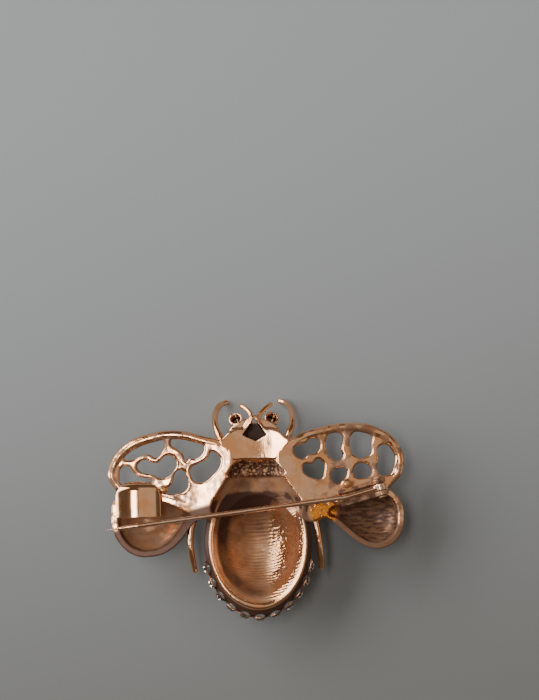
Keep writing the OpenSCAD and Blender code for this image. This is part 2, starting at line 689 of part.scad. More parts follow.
casting();
needle();
hinge_rivet();
eye_stone(-1);  // eye_stone_left
eye_stone(1);  // eye_stone_right
for (c = crystals)
    crystal(c);
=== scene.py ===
import math
import random

import bpy
from mathutils import Matrix, Vector


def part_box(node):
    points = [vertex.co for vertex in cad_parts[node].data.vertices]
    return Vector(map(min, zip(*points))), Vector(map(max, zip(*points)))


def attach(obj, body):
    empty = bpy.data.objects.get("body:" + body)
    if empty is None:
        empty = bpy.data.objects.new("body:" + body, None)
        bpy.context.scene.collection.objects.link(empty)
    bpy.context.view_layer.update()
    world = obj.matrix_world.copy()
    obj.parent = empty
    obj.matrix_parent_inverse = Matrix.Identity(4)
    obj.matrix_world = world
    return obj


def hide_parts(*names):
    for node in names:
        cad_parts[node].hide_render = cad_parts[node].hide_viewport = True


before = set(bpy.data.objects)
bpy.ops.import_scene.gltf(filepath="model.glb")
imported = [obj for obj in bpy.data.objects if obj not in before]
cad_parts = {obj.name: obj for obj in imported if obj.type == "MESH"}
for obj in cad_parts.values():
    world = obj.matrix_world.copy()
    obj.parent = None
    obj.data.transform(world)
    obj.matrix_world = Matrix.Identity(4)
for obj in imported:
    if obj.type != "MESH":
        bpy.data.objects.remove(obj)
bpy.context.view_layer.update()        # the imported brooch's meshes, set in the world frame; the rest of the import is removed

# The cast body. The abdomen and the thorax are one hollow-backed shell of zinc alloy, cast, polished and
# plated with rose gold. A smooth bowl with the marks of its layered master lies in the abdomen, and the
# thorax has a shallower, grainier hollow a step above it.
mm = 0.001               # every length is in mm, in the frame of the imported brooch
rim_h = 8.4              # the rim of the back above the table
abdomen_at = Vector((0.2, -5.5, rim_h))
abdomen_r = Vector((8.7, 11.9, 7.7))
bowl_r = Vector((6.6, 8.7, 6.6))
flare_depth, flare_widening = 1.3, 1.17
edge_fall, edge_share = 0.8, 0.89
band_turns, band_w, band_sunk = (-42, -13.5, 13.5, 40, 65), 0.8, 0.1
seat_floor_r, seat_mouth_r, seat_depth, seat_raised = 0.6, 1.6, 1.2, 0.04


def only(*pieces):
    """Selects these pieces and nothing else."""
    bpy.ops.object.select_all(action="DESELECT")
    for piece in pieces:
        piece.select_set(True)
    bpy.context.view_layer.objects.active = pieces[0]


def settle(name, piece=None):
    """Names a piece, the newest unless one is given, and puts its place into its mesh."""
    piece = piece or bpy.context.active_object
    piece.name = name
    only(piece)
    bpy.ops.object.transform_apply(location=True, rotation=True, scale=True)
    return piece


def ball(at, radii):
    """A ball, or an egg where its three radii differ."""
    bpy.ops.mesh.primitive_uv_sphere_add(
        segments=96, ring_count=48, radius=mm, location=Vector(at) * mm, scale=radii)
    return settle("ball")


def wrapped(*pieces):
    """One tight skin round several pieces."""
    only(*pieces)
    bpy.ops.object.join()
    bpy.ops.object.mode_set(mode="EDIT")
    bpy.ops.mesh.select_all(action="SELECT")
    bpy.ops.mesh.convex_hull()
    bpy.ops.object.mode_set(mode="OBJECT")
    return bpy.context.active_object


def sawn_off_above(piece, height, steps=(), middle=(0, 0, 0)):
    """Saws a piece off at a height. By each step the flat is then raised and widened about a middle."""
    only(piece)
    bpy.ops.object.mode_set(mode="EDIT")
    bpy.ops.mesh.select_all(action="SELECT")
    bpy.ops.mesh.bisect(
        plane_co=(0, 0, height * mm), plane_no=(0, 0, 1), use_fill=True, clear_outer=True)
    for raised, widened in steps:
        bpy.ops.mesh.extrude_region_move(TRANSFORM_OT_translate={"value": (0, 0, raised * mm)})
        bpy.ops.transform.resize(value=(widened, widened, 1), center_override=Vector(middle) * mm)
    bpy.ops.object.mode_set(mode="OBJECT")
    return piece


def finished(piece, kind, **settings):
    """Adds a modifier, sets it and applies it."""
    only(piece)
    step = piece.modifiers.new(kind.title(), kind)
    for name, value in settings.items():
        setattr(step, name, value)
    bpy.ops.object.modifier_apply(modifier=step.name)


def cut(piece, *tools):
    """Cuts the tools' forms out of a piece."""
    for tool in tools:
        finished(piece, "BOOLEAN", operation="DIFFERENCE", object=tool, solver="MANIFOLD")
        bpy.data.objects.remove(tool)


def poured(name, cell, *forms):
    """Melts several closed forms into one."""
    only(*forms)
    if len(forms) > 1:
        bpy.ops.object.join()
    piece = bpy.context.active_object
    piece.name = piece.data.name = name
    finished(piece, "REMESH", mode="VOXEL", voxel_size=cell * mm)
    return piece


def polished(piece, cell, passes):
    """Rounds a cast piece's edges, as tumbling does."""
    finished(piece, "REMESH", mode="VOXEL", voxel_size=cell * mm)
    finished(piece, "SMOOTH", factor=0.5, iterations=passes)
    bpy.ops.object.shade_smooth()


def tube(name, path, widths, round_ends=True):
    """A rod along a smooth path, with a width at each point. Round ends go on by a share of the width."""
    points = [Vector(p) for p in path]
    if round_ends:
        start, end, start_w, end_w = points[0], points[-1], widths[0], widths[-1]
        before = (start - points[1]).normalized() * start_w
        after = (end - points[-2]).normalized() * end_w
        for beyond, share in ((0.25, 0.8), (0.42, 0.35)):
            points = [start + before * beyond, *points, end + after * beyond]
            widths = [start_w * share, *widths, end_w * share]
    curve = bpy.data.curves.new(name, "CURVE")
    curve.dimensions = "3D"
    curve.bevel_depth = mm / 2
    curve.bevel_resolution = 5
    curve.resolution_u = 6
    curve.use_fill_caps = True
    spline = curve.splines.new("BEZIER")
    spline.bezier_points.add(len(points) - 1)
    for knot, at, width in zip(spline.bezier_points, points, widths):
        knot.co = at * mm
        knot.handle_left_type = knot.handle_right_type = "AUTO"
        knot.radius = width
    return meshed(name, curve)


def meshed(name, curve):
    """Turns a curve into a closed mesh with its faces outwards."""
    piece = bpy.data.objects.new(name, curve)
    bpy.context.scene.collection.objects.link(piece)
    only(piece)
    bpy.ops.object.convert(target="MESH")
    bpy.ops.object.mode_set(mode="EDIT")
    bpy.ops.mesh.select_all(action="SELECT")
    bpy.ops.mesh.remove_doubles(threshold=0.002 * mm)
    bpy.ops.mesh.normals_make_consistent(inside=False)
    bpy.ops.object.mode_set(mode="OBJECT")
    return bpy.context.active_object


def on_dome(way):
    """A place on the abdomen's front, and the way out of the metal there."""
    return abdomen_at + way * abdomen_r, Vector([way[i] / abdomen_r[i] for i in range(3)]).normalized()


def on_band(turn, along):
    """A point of a raised band, by the band's turn round the body and the point's turn along the band."""
    turn, along = math.radians(turn), math.radians(along)
    at, out = on_dome(Vector(
        (math.sin(along), -math.cos(along) * math.sin(turn), -math.cos(along) * math.cos(turn))))
    return at - band_sunk * out


def seat_place(node):
    """Where a crystal's girdle meets the dome, and the way out of the metal there."""
    low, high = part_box(node)
    middle = [(low[i] + high[i]) / 2 / mm for i in range(3)]
    return on_dome(Vector([(middle[i] - abdomen_at[i]) / abdomen_r[i] for i in range(3)]).normalized())


crystal_nodes = sorted(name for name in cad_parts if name.startswith("crystal_"))

abdomen = sawn_off_above(
    ball(abdomen_at, abdomen_r), rim_h - edge_fall, [(edge_fall, edge_share)], abdomen_at)
chest, neck = ball((0.1, 0.2, rim_h), (8.4, 5.1, 4.3)), ball((0, 6.1, rim_h), (5.2, 3.0, 3.2))
thorax = sawn_off_above(wrapped(chest, neck), rim_h)
bands = []
for turn in band_turns:
    points = [on_band(turn, 12.5 * step) for step in range(-5, 6)]
    bands.append(tube("band", points, [band_w] * len(points)))
body = poured("cast_body", 0.16, abdomen, thorax, *bands)


def hollows():
    """The bowl in the abdomen with its flared lip, and the two steps of the hollow in the thorax."""
    lip = [(flare_depth, flare_widening), (3, 1)]
    return (sawn_off_above(ball(abdomen_at, bowl_r), rim_h - flare_depth, lip, abdomen_at),
            wrapped(ball((0.1, 0.2, rim_h), (7.3, 4, 3.2)), ball((0, 4.7, rim_h), (4.64, 0.9, 2.88))),
            wrapped(ball((0.1, 5.5, rim_h), (4.64, 0.9, 2.11)), ball((0, 6.1, rim_h), (4.1, 1.9, 2.11))))


cut(body, *hollows())
polished(body, 0.13, 5)
for node in crystal_nodes:
    at, out = seat_place(node)
    bpy.ops.mesh.primitive_cone_add(
        vertices=24, radius1=seat_floor_r * mm, radius2=seat_mouth_r * mm, depth=seat_depth * mm,
        location=(at + out * seat_raised) * mm, rotation=out.to_track_quat("Z", "Y").to_euler())
    cut(body, settle("seat"))


class Value:
    """A number on a shader's socket. Sums and products of such numbers add their Math nodes."""

    def __init__(self, finish, socket):
        self.finish, self.socket = finish, socket

    def __add__(self, other):
        return self.finish.maths("ADD", self, other)

    def __sub__(self, other):
        return self.finish.maths("SUBTRACT", self, other)

    def __rsub__(self, other):
        return self.finish.maths("SUBTRACT", other, self)

    def __mul__(self, other):
        return self.finish.maths("MULTIPLY", self, other)

    __radd__ = __add__
    __rmul__ = __mul__


class Finish:
    """A procedural finish. Its patterns lie on the piece's own coordinates, counted in millimetres."""

    def __init__(self, name, **uniform):
        self.material = bpy.data.materials.new(name)
        self.material.use_nodes = True
        self.tree = self.material.node_tree
        self.shader = self.tree.nodes["Principled BSDF"]
        for socket, value in uniform.items():
            self.shader.inputs[socket.replace("_", " ")].default_value = value
        place = self.node("ShaderNodeTexCoord", output="Object")
        self.place = self.node("ShaderNodeVectorMath", {"operation": "SCALE"}, {0: place, "Scale": 1 / mm})
        self.x, self.y, self.z = (
            self.node("ShaderNodeSeparateXYZ", inputs={0: self.place}, output=axis) for axis in range(3))

    def node(self, kind, settings=None, inputs=None, output=0):
        """Adds a node with its settings, and links or sets its inputs. It stands for one of its outputs."""
        made = self.tree.nodes.new(kind)
        for name, value in (settings or {}).items():
            setattr(made, name, value)
        for socket, value in (inputs or {}).items():
            if isinstance(value, Value):
                self.tree.links.new(value.socket, made.inputs[socket])
            else:
                made.inputs[socket].default_value = value
        return Value(self, made.outputs[output])

    def noise(self, size, detail=3.0, stretch=(1, 1, 1), roughness=0.5):
        """Cloudy noise whose clouds are a size in mm across, longer or shorter along the three axes."""
        place = self.node(
            "ShaderNodeVectorMath", {"operation": "DIVIDE"}, {0: self.place, 1: [size * s for s in stretch]})
        return self.node("ShaderNodeTexNoise", inputs={
            "Vector": place, "Scale": 1.0, "Detail": detail, "Roughness": roughness})

    def between(self, value, low, high):
        """0 where a value is low, 1 where it is high, and smooth between."""
        return self.node(
            "ShaderNodeMapRange", {"interpolation_type": "SMOOTHSTEP"},
            {"Value": value, "From Min": low, "From Max": high})

    def maths(self, operation, *numbers):
        """A number that a Math node works out."""
        return self.node("ShaderNodeMath", {"operation": operation}, dict(enumerate(numbers)))

    def near(self, x, y, reach, soft=0.5):
        """1 near a place on the back and 0 beyond its reach."""
        dx, dy = self.x - x, self.y - y
        return 1 - self.between(self.maths("SQRT", dx * dx + dy * dy), reach * (1 - soft), reach)

    def mixed(self, share, first, second):
        """A colour between two, where each is a colour or another mix."""
        first, second = (c if isinstance(c, Value) else (*c, 1.0) for c in (first, second))
        return self.node("ShaderNodeMix", {"data_type": "RGBA"}, {0: share, 6: first, 7: second}, 2)

    def close(self, colour, roughness, height, patina_and_shade=None):
        """Feeds the shader its colour, its roughness and a relief in mm. Where its last share is 1 the
        surface is dull and brown, which stands for real patina in some places and for painted shade in
        others.
        """
        relief = self.node("ShaderNodeBump", inputs={"Strength": 1.0, "Distance": mm, "Height": height})
        links = {"Base Color": colour, "Roughness": roughness, "Normal": relief}
        if patina_and_shade:
            links["Base Color"] = self.mixed(patina_and_shade, colour, patina_and_shade_brown)
            links["Roughness"] = roughness + 0.2 * patina_and_shade
            links["Metallic"] = 1 - 0.9 * patina_and_shade
        for socket, value in links.items():
            self.tree.links.new(value.socket, self.shader.inputs[socket])
        return self.material


# The first, deepest gold is painted shade in the abdomen's bowl.
gold_in_shade, gold_rose, gold_pale = (0.74, 0.38, 0.19), (0.93, 0.45, 0.21), (0.96, 0.57, 0.35)
# The dull brown of patina, also used as painted shade.
patina_and_shade_brown = (0.08, 0.038, 0.026)


def rose_gold(name, waves):
    """Cloudy, finely scratched rose gold plating over a casting whose waves have a height in mm."""
    gold = Finish(name, Metallic=1.0, Specular_IOR_Level=0.15)
    clouds = gold.noise(2.5, 4)
    grain = gold.noise(0.3, 4)
    scratches = gold.noise(0.5, 3, (6, 0.3, 1))
    gold.colour = gold.mixed(gold.between(clouds, 0.35, 0.65), gold_rose, gold_pale)
    gold.roughness = 0.04 + 0.06 * grain + 0.05 * scratches
    gold.height = waves * gold.noise(1.6, 1) + 0.0015 * grain + 0.0015 * scratches
    return gold


def dressed(piece, material):
    """Gives a piece its one finish."""
    piece.data.materials.clear()
    piece.data.materials.append(material)


def worn(piece, node_slot, material, *nodes):
    """Gives a piece of the jewel its finish, hangs it on the jewel's body and hides the imported solids it
    stands in for.
    """
    dressed(piece, material)
    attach(piece, "jewel")
    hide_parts(*nodes)


gold = rose_gold("Body plating", 0.02)
# Where the parts of the body lie: from_middle is 1 on the abdomen's outline and 0 in its middle.
across = (gold.x - abdomen_at.x) * (1 / abdomen_r.x)
along = (gold.y - abdomen_at.y) * (1 / abdomen_r.y)
from_middle = across * across + along * along
below_rim = 1 - gold.between(gold.z, 7.9, 8.3)
rim_slope = (gold.between(from_middle, 0.79, 0.83) * gold.between(gold.z, 6.6, 7.4)
             * (1 - gold.between(gold.y, 0, 2)))
in_bowl = (1 - gold.between(from_middle, 0.72, 0.77)) * (1 - gold.between(gold.y, 1.5, 3.0)) * below_rim
steep_wall = gold.between(from_middle, 0.22, 0.42) * (1 - gold.between(from_middle, 0.54, 0.60))
upper_end = gold.between(gold.y, -8.0, -1.5)
sparkling = gold.between(gold.x, 1.0, 3.0) * in_bowl
in_thorax = gold.between(gold.y, -1.4, 1.2) * (1 - gold.between(gold.z, 7.7, 8.2))
grainy = gold.between(gold.y, 4.9, 5.2) * below_rim
# The marks of the master's layers run across the bowl, two ripples to a mm.
radians_per_mm = 12.5
layers = 0.5 * gold.z - 0.86 * gold.y + 0.8 * gold.noise(1.8, 4, (2, 1, 1))
ripples = gold.maths("SINE", layers * radians_per_mm)
pits = gold.noise(0.45, 4, roughness=0.65)
specks = gold.between(pits, 0.52, 0.60)
stains = gold.between(gold.noise(3.0, 3), 0.42, 0.62)
# Painted shade: the bowl's gold is deepened, and the slope inside the rim, the bowl and the thorax hollow are
# dulled towards brown, the bowl most on its steep walls and near the thorax; random stains vary it. The
# sparkling right of the bowl is kept bright, and the grainy upper step of the thorax is dulled a little, with
# lighter specks.
colour = gold.mixed(in_bowl * (0.3 + 0.4 * stains), gold.colour, gold_in_shade)
bowl_shade_and_stains = (0.36 + 0.36 * steep_wall + 0.30 * upper_end + 0.15 * stains) * (1 - 0.8 * sparkling)
patina_and_shade = (rim_slope + in_thorax * (0.64 + 0.2 * stains) + in_bowl * bowl_shade_and_stains
          + 0.25 * grainy * (1 - 3 * specks))
patina_and_shade = gold.node("ShaderNodeClamp", inputs={0: patina_and_shade})
roughness = gold.roughness + 0.22 * in_bowl * (1 - 0.95 * sparkling) + 0.3 * in_thorax + 0.10 * grainy
relief = (gold.height + in_bowl * (0.014 * ripples + 0.02 * pits) + 0.14 * sparkling * gold.noise(0.7, 1)
          + 0.2 * grainy * pits)
worn(body, "cast_gold", gold.close(colour, roughness, relief, patina_and_shade), "casting")

# The head. A flat plate with an opening in it closes the back of a domed face; the opening is painted dark
# inside, a painted shade. Two short collets hold the eyes, and two forelegs and two feelers curve forward and
# down to the table. All are cast in one.
neck_y, head_len, head_w, head_t = 8.0, 6.4, 11.4, 1.3
plate_raised, limb_low = 0.2, 0.45
collet_r, collet_len, bore_r = 1.16, 2.6, 0.8
opening_low, opening_len = 3.2, 4.2


def drawn(name, lines, fill):
    """A flat curve that follows closed, smooth lines, whose areas are filled or not."""
    curve = bpy.data.curves.new(name, "CURVE")
    curve.dimensions = "2D"
    curve.fill_mode = fill
    curve.resolution_u = 6
    for line in lines:
        spline = curve.splines.new("BEZIER")
        spline.use_cyclic_u = True
        spline.bezier_points.add(len(line) - 1)
        for knot, (x, y) in zip(spline.bezier_points, line):
            knot.co = (x * mm, y * mm, 0)
            knot.handle_left_type = knot.handle_right_type = "AUTO"
    return curve


def plate(name, outline, cells, thickness, round_over):
    """A flat plate with rounded edges from a smooth outline, pierced with cells. Its back lies at z = 0."""
    curve = drawn(name, (outline, *cells), "BOTH")
    curve.extrude = (thickness / 2 - round_over) * mm
    curve.bevel_depth = round_over * mm
    curve.offset = -round_over * mm
    curve.bevel_resolution = 4
    piece = meshed(name, curve)
    piece.location.z = -thickness / 2 * mm
    return settle(name)


def on_head(share):
    """A place by its shares of half the head's width, of its length and of the height of the rim."""
    return Vector((
        share[0] * head_w / 2, neck_y + share[1] * head_len, limb_low + share[2] * (rim_h - limb_low)))


def eye_drum(side, radius, depth):
    """A drum along one eye's axis, which leans outwards and looks down and forward."""
    at = Vector((side * 2.7, neck_y + head_len * 0.93, rim_h * 0.56))
    turn = Matrix.Rotation(math.radians(side * 12), 4, "Y") @ Matrix.Rotation(math.radians(156), 4, "X")
    bpy.ops.mesh.primitive_cylinder_add(
        vertices=48, radius=radius * mm, depth=depth * mm, location=at * mm, rotation=turn.to_euler())
    return settle("eye drum")


# One half of the head plate's outline, from the neck round the cheek to the middle of the brow.
half = [(0.64, -0.04), (0.86, 0.22), (1.00, 0.42), (0.87, 0.53), (0.72, 0.66), (0.50, 0.74), (0.30, 0.76),
        (0.17, 0.90), (0.11, 1.05)]
right_half, left_half = [(0.0, -0.05), (0.35, -0.05), *half], [*reversed(half), (0.35, -0.04)]
outline = [(side * x * head_w / 2, neck_y + y * head_len)
           for side, row in ((1, right_half), (-1, left_half)) for x, y in row]
head_plate = plate("head plate", outline, [], head_t, 0.3)
head_plate.location.z = (rim_h + plate_raised) * mm
settle("head plate", head_plate)
face_top = rim_h - head_t / 2
face = sawn_off_above(ball((0, neck_y + head_len * 0.45, face_top), (4.56, 3.58, 4.6)), face_top)
collets = [eye_drum(side, collet_r, collet_len) for side in (-1, 1)]
foreleg = [(0.86, 0.36, 0.86), (1.00, 0.62, 0.80), (1.09, 0.88, 0.64), (1.09, 1.12, 0.44), (1.03, 1.30, 0.24),
           (0.91, 1.42, 0.08), (0.76, 1.47, 0.0)]
foreleg_widths = [1.1, 1.1, 1.08, 1.05, 1.02, 0.98, 0.9]
left_feeler = [
    (-0.12, 0.84, 0.86), (-0.08, 1.00, 0.86), (-0.09, 1.12, 0.82), (-0.20, 1.25, 0.74),
    (-0.34, 1.33, 0.64)]
right_feeler = [
    (0.06, 0.90, 0.86), (0.13, 1.04, 0.86), (0.27, 1.19, 0.80), (0.40, 1.30, 0.72), (0.50, 1.36, 0.62)]
feeler_widths = [0.85, 0.84, 0.84, 0.84, 0.84]
limbs = [
    tube("foreleg", [on_head((side * x, y, z)) for x, y, z in foreleg], foreleg_widths) for side in (-1, 1)]
limbs += [
    tube("feeler", [on_head(p) for p in line], feeler_widths) for line in (left_feeler, right_feeler)]
head = poured("cast_head", 0.12, head_plate, face, *collets, *limbs)
# The opening's punch is a square bar, whose edges are moved one by one to the corners of the opening.
bpy.ops.mesh.primitive_cylinder_add(vertices=4, radius=mm, depth=opening_len * mm)
opening = settle("opening")
edges = sorted(range(4), key=lambda i: math.atan2(*opening.data.vertices[2 * i].co.yx))
corners = sorted(
    [(0.02, 1.00), (-0.33, 0.58), (0.05, 0.42), (0.35, 0.57)], key=lambda p: math.atan2(p[1] - 0.64, p[0]))
for edge, (x, y) in zip(edges, corners):
    for end in (0, 1):
        at = opening.data.vertices[2 * edge + end].co
        at.x, at.y = x * head_w / 2 * mm, (neck_y + y * head_len) * mm
        at.z += (rim_h - opening_low + opening_len / 2) * mm
cut(head, opening, *[eye_drum(side, bore_r, 2 * collet_len) for side in (-1, 1)])
polished(head, 0.1, 5)

gold = rose_gold("Head plating", 0.03)
# Painted shade: the head's opening is dull brown inside, below the plate.
opening_shade = gold.near(0.1, 12.0, 2.1, 0.3) * (1 - gold.between(gold.z, 7.2, 8.2))
brushed = gold.noise(0.4, 4, (0.6, 3, 1))
on_plate = gold.between(gold.z, 8.3, 8.5)
hollowed = 0.011 * (gold.x + 0.8) * (gold.x + 0.8)
relief = gold.height + on_plate * (hollowed + 0.004 * brushed)
worn(head, "cast_gold", gold.close(
    gold.colour, gold.roughness + 0.05 * brushed, relief, opening_shade), "casting")

# The wings. On each side a pierced upper wing with a round rim, its root plate against the thorax and the
# dished lower wing below it are one casting of the same alloy, soldered on with a droop of three degrees.
wing_len, wing_w, wing_y, wing_t, droop = 24.0, 9.8, 3.0, 1.15, 3.0
wing_rim_w, wing_rim_in, wing_rim_down = 1.6, 0.72, 0.45
cup_w, cup_y, cup_depth = 10.4, -7.4, 3.4
cup_floor, cup_inner_share = 1, 0.81
root_reach, root_raised, root_blend = 7.6, 0.42, 7
# Places on a wing are shares of its length, out from the body, and of its width, up from its lower line.
left_edge = [
    (0.23, 0.82), (0.34, 0.89), (0.47, 0.98), (0.59, 1.00), (0.69, 0.96), (0.81, 0.87), (0.89, 0.75),
    (0.95, 0.59), (0.985, 0.41), (0.99, 0.25), (0.96, 0.11), (0.92, 0.01)]
right_edge = [
    (0.25, 0.82), (0.35, 0.93), (0.45, 0.99), (0.55, 1.04), (0.64, 1.05), (0.73, 1.04), (0.83, 0.96),
    (0.91, 0.85), (0.97, 0.68), (1.00, 0.50), (1.00, 0.33), (0.98, 0.17), (0.93, 0.04)]
left_root = [
    (0.77, 0.00), (0.64, -0.05), (0.53, -0.14), (0.45, -0.28), (0.37, -0.43), (0.28, -0.44), (0.20, 0.00),
    (0.14, 0.49), (0.16, 0.72)]
right_root = [
    (0.88, -0.06), (0.74, -0.08), (0.59, -0.11), (0.51, -0.29), (0.44, -0.51), (0.36, -0.56), (0.26, -0.44),
    (0.20, 0.00), (0.14, 0.48), (0.17, 0.70)]
left_cells = [
    [(0.73, 0.86), (0.63, 0.86), (0.60, 0.79), (0.62, 0.66), (0.66, 0.56), (0.71, 0.62), (0.77, 0.59),
     (0.81, 0.54), (0.88, 0.56), (0.88, 0.65), (0.80, 0.79)],
    [(0.55, 0.86), (0.45, 0.84), (0.36, 0.77), (0.34, 0.70), (0.36, 0.58), (0.40, 0.53), (0.44, 0.53),
     (0.46, 0.48), (0.48, 0.60), (0.52, 0.69), (0.56, 0.77)],
    [(0.29, 0.63), (0.24, 0.56), (0.23, 0.49), (0.24, 0.38), (0.29, 0.24), (0.34, 0.15), (0.40, 0.15),
     (0.43, 0.24), (0.43, 0.38), (0.38, 0.44), (0.31, 0.54)],
    [(0.77, 0.50), (0.79, 0.41), (0.75, 0.32), (0.69, 0.29), (0.63, 0.22), (0.58, 0.26), (0.55, 0.33),
     (0.53, 0.40), (0.53, 0.50), (0.56, 0.59), (0.61, 0.57), (0.65, 0.48), (0.70, 0.49), (0.73, 0.53)],
    [(0.89, 0.42), (0.85, 0.43), (0.83, 0.37), (0.79, 0.27), (0.73, 0.23), (0.69, 0.19), (0.72, 0.13),
     (0.78, 0.14), (0.86, 0.10), (0.90, 0.15), (0.91, 0.29)],
    [(0.53, 0.32), (0.48, 0.33), (0.46, 0.23), (0.45, 0.13), (0.47, 0.01), (0.52, -0.03), (0.58, -0.04),
     (0.62, 0.04), (0.57, 0.09), (0.55, 0.20)]]
right_cells = [
    [(0.26, 0.63), (0.29, 0.70), (0.34, 0.73), (0.39, 0.81), (0.43, 0.78), (0.44, 0.68), (0.42, 0.58),
     (0.36, 0.54), (0.32, 0.48), (0.28, 0.53)],
    [(0.51, 0.88), (0.56, 0.89), (0.59, 0.84), (0.59, 0.73), (0.58, 0.62), (0.59, 0.49), (0.55, 0.43),
     (0.51, 0.48), (0.48, 0.61), (0.48, 0.76)],
    [(0.65, 0.83), (0.69, 0.91), (0.75, 0.90), (0.79, 0.80), (0.78, 0.69), (0.78, 0.54), (0.74, 0.48),
     (0.69, 0.48), (0.65, 0.57), (0.64, 0.70)],
    [(0.83, 0.62), (0.88, 0.68), (0.92, 0.62), (0.94, 0.48), (0.93, 0.31), (0.91, 0.20), (0.87, 0.17),
     (0.83, 0.20), (0.82, 0.31), (0.83, 0.46)],
    [(0.33, 0.38), (0.39, 0.40), (0.42, 0.47), (0.46, 0.40), (0.46, 0.25), (0.44, 0.14), (0.39, 0.16),
     (0.34, 0.23), (0.32, 0.31)],
    [(0.52, 0.27), (0.56, 0.31), (0.61, 0.29), (0.61, 0.18), (0.58, 0.10), (0.54, 0.06), (0.51, 0.15)],
    [(0.66, 0.27), (0.69, 0.37), (0.75, 0.37), (0.78, 0.27), (0.77, 0.17), (0.72, 0.14), (0.67, 0.16)]]
left_cup = [
    (0.37, 0.61), (0.43, 0.47), (0.50, 0.26), (0.59, 0.08), (0.71, 0.00), (0.82, 0.03), (0.91, 0.19),
    (0.96, 0.41), (0.97, 0.67), (0.95, 0.88), (0.87, 1.00), (0.74, 1.00), (0.60, 0.92), (0.46, 0.78)]
right_cup = [
    (0.41, 0.62), (0.49, 0.51), (0.58, 0.33), (0.68, 0.14), (0.78, 0.04), (0.88, 0.07), (0.96, 0.23),
    (0.99, 0.50), (0.97, 0.78), (0.90, 0.94), (0.78, 0.97), (0.63, 0.91), (0.50, 0.80)]


def dished(name, outline, middle, depth, above):
    """A bowl-shaped form that hangs from an outline, drawn down and in by steps towards its middle."""
    meshed(name, drawn(name, (outline,), "NONE"))
    bpy.ops.object.mode_set(mode="EDIT")
    bpy.ops.mesh.select_all(action="SELECT")
    bpy.ops.mesh.edge_face_add()
    bpy.ops.transform.translate(value=(0, 0, above * mm))
    levels = [(1.0, 0.0)] + [
        (math.cos(math.radians(turn)), -depth * math.sin(math.radians(turn))) for turn in range(8, 87, 6)]
    last, height = 1.0, above
    for share, z in levels:
        bpy.ops.mesh.extrude_region_move(TRANSFORM_OT_translate={"value": (0, 0, (z - height) * mm)})
        bpy.ops.transform.resize(
            value=(share / last, share / last, 1), center_override=(middle[0] * mm, middle[1] * mm, z * mm))
        last, height = share, z
    bpy.ops.mesh.select_all(action="SELECT")
    bpy.ops.mesh.normals_make_consistent(inside=False)
    bpy.ops.object.mode_set(mode="OBJECT")
    return bpy.context.active_object


def raised_root(piece):
    """Draws the wing's root up until it is level with the rim of the body."""
    only(piece)
    bpy.ops.object.mode_set(mode="EDIT")
    bpy.ops.mesh.select_all(action="DESELECT")
    bpy.ops.object.mode_set(mode="OBJECT")
    for corner in piece.data.vertices:
        corner.select = abs(corner.co.x) < root_reach * mm
    bpy.ops.object.mode_set(mode="EDIT")
    bpy.ops.transform.translate(
        value=(0, 0, root_raised * mm), use_proportional_edit=True, proportional_edit_falloff="SMOOTH",
        proportional_size=root_blend * mm)
    bpy.ops.object.mode_set(mode="OBJECT")


def wing(name, side, edge, root, cells, cup, cup_mid):
    """One wing, drawn flat on its side of the body and then drooped."""
    def on_wing(share):
        return side * share[0] * wing_len, wing_y + share[1] * wing_w

    def on_cup(share):
        return side * share[0] * wing_len, cup_y + share[1] * cup_w

    pierced = plate(
        name, [on_wing(p) for p in edge + root], [[on_wing(p) for p in cell] for cell in cells], wing_t, 0.34)
    rim, last = [], len(edge) - 1
    for i, share in enumerate(edge):
        before, after = Vector(edge[max(i - 1, 0)]), Vector(edge[min(i + 1, last)])
        along = Vector(((after.x - before.x) * wing_len, (after.y - before.y) * wing_w)).normalized()
        x = share[0] * wing_len + wing_rim_in * along.y
        y = wing_y + share[1] * wing_w - wing_rim_in * along.x
        rim.append((side * x, y, -wing_rim_down * wing_t))
    widths = [wing_rim_w * (0.72 + 0.28 * math.sin(math.pi * i / last)) for i in range(len(edge))]
    middle = on_cup(cup_mid)
    outline = [on_cup(p) for p in cup]
    inner = [[m + cup_inner_share * (c - m) for m, c in zip(middle, point)] for point in outline]
    made = poured(
        name, 0.12, pierced, tube("rim", rim, widths), dished("cup", outline, middle, cup_depth, 0.01))
    cut(made, dished("cup hollow", inner, middle, cup_depth - cup_floor, 2))
    made.rotation_euler.y = math.radians(side * droop)
    made.location.z = rim_h * mm
    settle(name, made)
    raised_root(made)
    cut(made, *hollows())
    polished(made, 0.11, 5)
    return made


left_wing = wing("left_wing", -1, left_edge, left_root, left_cells, left_cup, (0.73, 0.52))
right_wing = wing("right_wing", 1, right_edge, right_root, right_cells, right_cup, (0.78, 0.52))


def wing_finish(gold, side, cup_at, streaked, dish_shade, lower_rim_shade):
    """A wing's patina and painted shade, its streaks and its relief. It is bright on the back; painted shade
    makes it brown in its dish, down in its cells and along its lower rim, and random blotches darken it
    further out.
    """
    depth = rim_h - gold.z - side * math.sin(math.radians(droop)) * gold.x
    # Painted shade: the dish is dulled towards brown, in streaks; away from it the surface is darkened down
    # in the cells and along the lower rim, and random blotches stain it.
    dish = gold.near(*cup_at, 6.0, 0.1) * gold.between(depth, 0.5, 1.0)
    streaks = gold.noise(0.6, 4, streaked)
    patina_and_shade = dish * dish_shade * (0.8 + 0.2 * gold.between(streaks, 0.35, 0.65))
    outer = gold.between(side * gold.x, 8, 12)
    blotches = gold.between(gold.noise(1.4, 4), 0.47, 0.6) * (0.2 + 0.5 * outer)
    lower_rim = 1 - gold.between(gold.y + 0.25 * side * gold.x - 2.75, -0.6, 0.4)
    back = gold.maths("MAXIMUM", 0.5 * gold.between(depth, 0.3, 0.8) + blotches, lower_rim_shade * lower_rim)
    return patina_and_shade + (1 - dish) * back, streaks, gold.height + (0.004 + 0.012 * dish) * streaks


